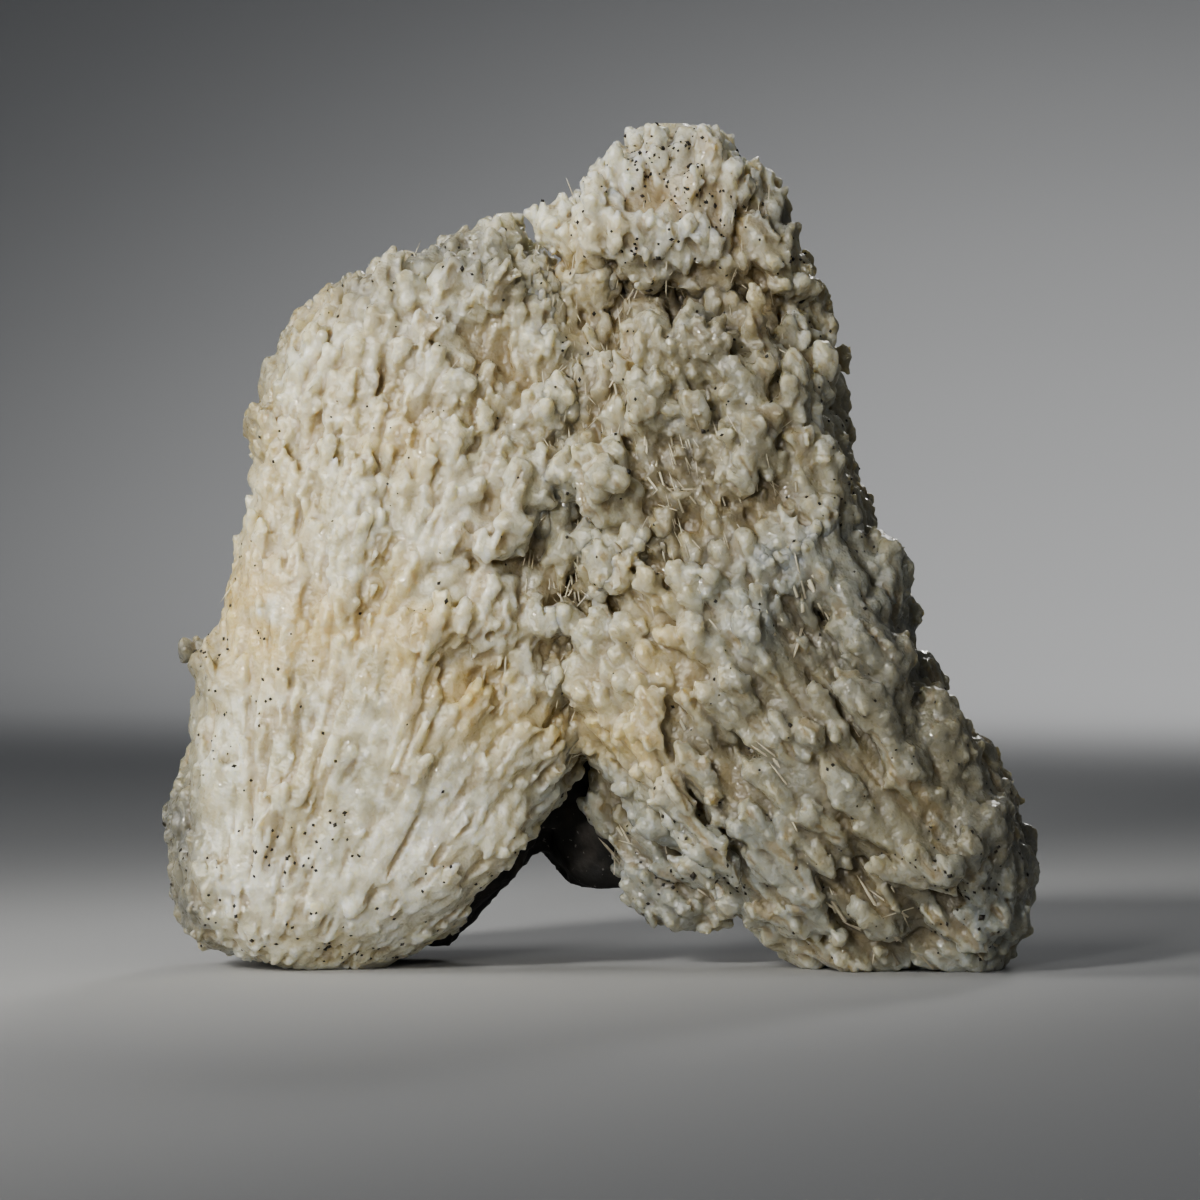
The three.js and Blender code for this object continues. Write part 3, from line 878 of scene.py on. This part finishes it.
def new_material(name):
    material = bpy.data.materials.new(name)
    material.use_nodes = True
    nodes = material.node_tree.nodes
    nodes.clear()
    output = nodes.new("ShaderNodeOutputMaterial")
    shader = nodes.new("ShaderNodeBsdfPrincipled")
    material.node_tree.links.new(shader.outputs["BSDF"], output.inputs["Surface"])
    return material, shader


def node(material, kind, inputs=None, **settings):
    """Adds a node. An input is a number, a colour or another node's output."""
    made = material.node_tree.nodes.new("ShaderNode" + kind)
    for key, value in settings.items():
        setattr(made, key, value)
    for key, value in (inputs or {}).items():
        if isinstance(value, bpy.types.NodeSocket):
            material.node_tree.links.new(value, made.inputs[key])
        else:
            made.inputs[key].default_value = value
    return made


def texture_place(material):
    """The point in millimetres, for textures."""
    place = node(material, "TexCoord").outputs["Object"]
    return node(material, "VectorMath", {0: place, 1: (1000, 1000, 1000)}, operation="MULTIPLY").outputs[0]


def spread_of(material, value, low, high, flip=False):
    """A value spread from 0 at low to 1 at high, or the other way round."""
    ends = (1, 0) if flip else (0, 1)
    ranged = node(material, "MapRange", {0: value, 1: low, 2: high, 3: ends[0], 4: ends[1]},
                  interpolation_type="SMOOTHSTEP")
    return ranged.outputs[0]


def mixed(material, share, first, second):
    mix = node(material, "Mix", {0: share, 6: first, 7: second}, data_type="RGBA")
    return mix.outputs[2]


def times(material, a, b):
    return node(material, "Math", {0: a, 1: b}, operation="MULTIPLY").outputs[0]


def noise_of(material, place, wavelength, detail=3):
    made = node(material, "TexNoise", {"Vector": place, "Scale": 1 / wavelength, "Detail": detail})
    return made.outputs["Fac"]


# The colours of calcite, and how strongly each tint covers it. Besides real stains, some cover it with
# painted shade: on its shaded sides, in its hollows, dips and slits.
DULL_MILK = (0.50, 0.47, 0.34, 1)
BRIGHT_MILK = (0.73, 0.715, 0.60, 1)
CREAM = (0.56, 0.505, 0.34, 1)
CRYSTAL_WHITE = (0.77, 0.755, 0.665, 1)
KNOB_WHITE = (0.67, 0.665, 0.575, 1)
# Painted light: cream that stands in for light glowing through the thinnest crests.
CREST_GLOW_CREAM = (0.70, 0.655, 0.49, 1)
# Painted shade for the deep places and for the gaps between the knobs: brown, and grey on the shaded sides.
DEEP_SHADE_BROWN = (0.32, 0.24, 0.12, 1)
DEEP_SHADE_GREY = (0.13, 0.125, 0.095, 1)
GAP_SHADE_BROWN = (0.44, 0.34, 0.19, 1)
GAP_SHADE_GREY = (0.18, 0.15, 0.09, 1)
STAINS_AND_PAINTED_SHADE = [
    # Painted shade on the sides and on the right half below the head.
    ("painted_shade", 0.78, (0.19, 0.178, 0.13, 1)),
    # Clear bluish calcite, and painted shade below the bulge and between the feet.
    ("bluish_and_painted_shade", 0.6, (0.34, 0.37, 0.36, 1)),
    ("white", 0.6, (0.75, 0.735, 0.65, 1)),
    ("amber", 0.7, (0.60, 0.44, 0.17, 1)),
    # Painted shade in the slits.
    ("slit", 0.55, (0.40, 0.31, 0.17, 1)),
    # Painted shade in the dips between the small crystals.
    ("dip_shade", 0.35, (0.42, 0.36, 0.22, 1)),
]
# Smoky grey calcite, and painted shade where the smoke blobs lie under the head and down the right half.
SMOKE_AND_PAINTED_SHADE = (0.12, 0.12, 0.11, 1)
CALCITE_IOR = 1.55
DULL_ROUGHNESS = 0.36
GLINT_ROUGHNESS = 0.08


def add_bump(material, shader, height, strength, distance):
    bump = node(material, "Bump", {"Height": height, "Strength": strength, "Distance": distance})
    material.node_tree.links.new(bump.outputs["Normal"], shader.inputs["Normal"])


def calcite_material():
    """Milky calcite, coloured by the values that lobe_piece stores on the mesh. Shade is painted into its
    hollows and shaded sides, and light onto its thin crests.
    """
    material, shader = new_material("calcite")
    place = texture_place(material)

    def attribute(label):
        return node(material, "Attribute", attribute_name=label).outputs["Fac"]

    hollow = attribute("hollow")
    cloud = noise_of(material, place, 9, 1)
    mottle = noise_of(material, place, 2.6, 2)
    milk = mixed(material, spread_of(material, mottle, 0.42, 0.58), DULL_MILK, BRIGHT_MILK)
    colour = mixed(material, spread_of(material, cloud, 0.40, 0.68), milk, CREAM)
    core = spread_of(material, attribute("core"), 0.05, 0.3)
    colour = mixed(material, times(material, core, 0.4), colour, CRYSTAL_WHITE)
    knob = spread_of(material, hollow, 0.04, 0.26)
    colour = mixed(material, times(material, knob, 0.35), colour, KNOB_WHITE)
    # Painted light glowing through the sharpest, thinnest crests.
    crest_glow = spread_of(material, hollow, 0.32, 0.6)
    colour = mixed(material, times(material, crest_glow, 0.6), colour, CREST_GLOW_CREAM)
    patches = spread_of(material, noise_of(material, place, 5, 1), 0.2, 0.5)
    amber = times(material, attribute("amber"), patches)
    shares = {
        # painted shade on the sides and the right half below the head
        "painted_shade": attribute("painted_shade"),
        "bluish_and_painted_shade": attribute("bluish_and_painted_shade"),
        "white": attribute("white"),
        "amber": amber,
        # painted shade in the slits
        "slit": attribute("slit"),
        # painted shade in the dips between the small crystals
        "dip_shade": spread_of(material, attribute("core"), -0.35, 0.05, flip=True),
    }
    for name, strength, cover_colour in STAINS_AND_PAINTED_SHADE:
        colour = mixed(material, times(material, shares[name], strength), colour, cover_colour)
    # Painted shade: the deeper a place lies under the form, the darker it is.
    deep_shade = spread_of(material, attribute("depth"), -3.4, -0.6, flip=True)
    shade = mixed(material, attribute("painted_shade"), DEEP_SHADE_BROWN, DEEP_SHADE_GREY)
    colour = mixed(material, times(material, deep_shade, 0.85), colour, shade)
    # Painted shade in the hollows between the knobs, grey on the shaded sides.
    crevice_shade = spread_of(material, hollow, -0.42, 0.0, flip=True)
    gap = mixed(material, attribute("painted_shade"), GAP_SHADE_BROWN, GAP_SHADE_GREY)
    colour = mixed(material, times(material, crevice_shade, 0.6), colour, gap)
    # Smoky calcite, and painted shade under the head and down the right half.
    colour = mixed(material, times(material, attribute("smoke_and_painted_shade"), 0.8), colour, SMOKE_AND_PAINTED_SHADE)
    material.node_tree.links.new(colour, shader.inputs["Base Color"])
    glint = spread_of(material, noise_of(material, place, 1.1, 1), 0.58, 0.66)
    rough = node(material, "MapRange", {0: glint, 3: DULL_ROUGHNESS, 4: GLINT_ROUGHNESS}).outputs[0]
    material.node_tree.links.new(rough, shader.inputs["Roughness"])
    add_bump(material, shader, noise_of(material, place, 0.7, 1), 1, 0.00025)
    shader.inputs["Subsurface Weight"].default_value = 1
    shader.inputs["Subsurface Radius"].default_value = (1.0, 0.9, 0.62)
    shader.inputs["Subsurface Scale"].default_value = 0.004
    shader.inputs["IOR"].default_value = CALCITE_IOR
    return material


def needle_material():
    material, shader = new_material("needle")
    place = texture_place(material)
    colour = mixed(material, noise_of(material, place, 6), (0.50, 0.43, 0.28, 1), (0.68, 0.64, 0.52, 1))
    material.node_tree.links.new(colour, shader.inputs["Base Color"])
    shader.inputs["Roughness"].default_value = 0.35
    shader.inputs["IOR"].default_value = CALCITE_IOR
    return material


def grain_material():
    material, shader = new_material("grain")
    colour = mixed(material, noise_of(material, texture_place(material), 4), (0.010, 0.009, 0.008, 1),
                   (0.05, 0.04, 0.03, 1))
    material.node_tree.links.new(colour, shader.inputs["Base Color"])
    shader.inputs["Roughness"].default_value = 0.4
    return material


def rock_material():
    material, shader = new_material("rock")
    place = texture_place(material)
    patch = spread_of(material, noise_of(material, place, 5), 0.45, 0.7)
    colour = mixed(material, patch, (0.016, 0.015, 0.013, 1), (0.06, 0.052, 0.045, 1))
    flecks = spread_of(material, noise_of(material, place, 0.8), 0.66, 0.74)
    colour = mixed(material, flecks, colour, (0.22, 0.20, 0.18, 1))
    material.node_tree.links.new(colour, shader.inputs["Base Color"])
    shader.inputs["Roughness"].default_value = 0.62
    add_bump(material, shader, noise_of(material, place, 0.7), 0.8, 0.0002)
    return material


def dress(piece, material, node_name):
    piece.data.materials.append(material)
    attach(piece, "root")
    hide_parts(node_name)


# The lights, in metres and watts. A spot has its cone in degrees and the radius of its lamp, and the side
# light is a disk this wide.
LIGHTS = {
    "key": {"place": (-0.42, -0.55, 0.38), "target": (-0.070, -0.02, 0.063), "power": 48,
            "colour": (1, 0.99, 0.955), "cone": 14, "radius": 0.12},
    "fill": {"place": (-0.35, -0.90, 0.20), "target": (-0.072, -0.02, 0.052), "power": 84,
             "colour": (1, 0.99, 0.965), "cone": 10.4, "radius": 0.15},
    "top": {"place": (-0.35, -0.55, 0.50), "target": (0.006, -0.01, 0.110), "power": 20,
            "colour": (1, 0.99, 0.965), "cone": 5, "radius": 0.1},
    "side": {"place": (-0.50, -0.14, 0.34), "target": (0, 0, 0.05), "power": 1.3,
             "colour": (1, 0.99, 0.96), "disk": 0.3},
    "back": {"place": (0.20, 0.80, 0.50), "target": (0, 0, 0.055), "power": 16,
             "colour": (1, 0.99, 0.97), "cone": 13, "radius": 0.12},
    "backdrop": {"place": (0.20, 0.54, 0.82), "target": (0.20, 1.05, 0.03), "power": 31,
                 "colour": (1, 1, 1), "cone": 58, "radius": 0.15},
}
SKY_COLOUR = (0.9, 0.94, 1.0, 1)
SKY_STRENGTH = 0.155

# The floor, in metres. It curves up into a backdrop that lies beyond every view's camera.
FLOOR_HALF_WIDTH = 2
FLOOR_NEAR_EDGE = -1.5
CURVE_START = 0.9
CURVE_RADIUS = 0.8
CURVE_POINTS = 14
BACKDROP_HEIGHT = 1.6
FLOOR_GREY = (0.42, 0.42, 0.42, 1)

# The camera looks a little down from in front. Its long lens keeps the outline free of perspective.
LENS = 260
CAMERA_DISTANCE = 1.155
CAMERA_LIFT = 1.5
CAMERA_TARGET = (0.0, -0.01, 0.0495)


def add_light(name, place, target, power, colour, cone=0, radius=0, disk=0):
    data = bpy.data.lights.new(name, "AREA" if disk else "SPOT")
    data.energy = power
    data.color = colour
    if disk:
        data.shape = "DISK"
        data.size = disk
    else:
        data.spot_size = math.radians(cone)
        data.spot_blend = 1
        data.shadow_soft_size = radius
    light = bpy.data.objects.new(name, data)
    light.location = place
    light.rotation_euler = (Vector(target) - Vector(place)).to_track_quat("-Z", "Y").to_euler()
    bpy.context.scene.collection.objects.link(light)


def studio():
    """A pale floor that curves up far behind the part, and soft lights, most of them from the left."""
    world = bpy.context.scene.world or bpy.data.worlds.new("studio")
    bpy.context.scene.world = world
    world.use_nodes = True
    background = world.node_tree.nodes.get("Background")
    background.inputs["Color"].default_value = SKY_COLOUR
    background.inputs["Strength"].default_value = SKY_STRENGTH
    for name, light in LIGHTS.items():
        add_light(name, **light)
    outline = [(FLOOR_NEAR_EDGE, 0.0)]
    for angle in np.linspace(0, math.pi / 2, CURVE_POINTS):
        outline.append((CURVE_START + CURVE_RADIUS * math.sin(angle), CURVE_RADIUS * (1 - math.cos(angle))))
    outline.append((CURVE_START + CURVE_RADIUS, BACKDROP_HEIGHT))
    points, quads = [], []
    for i, (y, z) in enumerate(outline):
        points += [(-FLOOR_HALF_WIDTH, y, z), (FLOOR_HALF_WIDTH, y, z)]
        if i:
            quads.append((2 * i - 2, 2 * i - 1, 2 * i + 1, 2 * i))
    floor = make_mesh("floor", np.array(points) / MM, (), quads)
    material, shader = new_material("paper")
    shader.inputs["Base Color"].default_value = FLOOR_GREY
    shader.inputs["Roughness"].default_value = 0.9
    floor.data.materials.append(material)


def camera():
    bpy.context.scene.view_settings.look = "AgX - Medium High Contrast"
    data = bpy.data.cameras.new("camera")
    data.lens = LENS
    data.clip_end = 20
    thing = bpy.data.objects.new("camera", data)
    lift = math.radians(CAMERA_LIFT)
    target = Vector(CAMERA_TARGET)
    thing.location = target + CAMERA_DISTANCE * Vector((0, -math.cos(lift), math.sin(lift)))
    thing.rotation_euler = (target - thing.location).to_track_quat("-Z", "Y").to_euler()
    bpy.context.scene.collection.objects.link(thing)
    bpy.context.scene.camera = thing


def build():
    form = solid_field(CALCITE, COARSE_STEP).blurred(FORM_BLUR)
    floor = floor_between_stalks(form)
    rock = solid_field(ROCK, COARSE_STEP)
    calcite = calcite_material()
    skins = []
    for name in LOBES:
        dress(lobe_piece(name, form, floor, rock, skins), calcite, CALCITE)
    dress(needle_piece(skins), needle_material(), CALCITE)
    dress(grain_piece(skins), grain_material(), CALCITE)
    dress(rock_piece(rock), rock_material(), ROCK)
    studio()
    camera()


build()
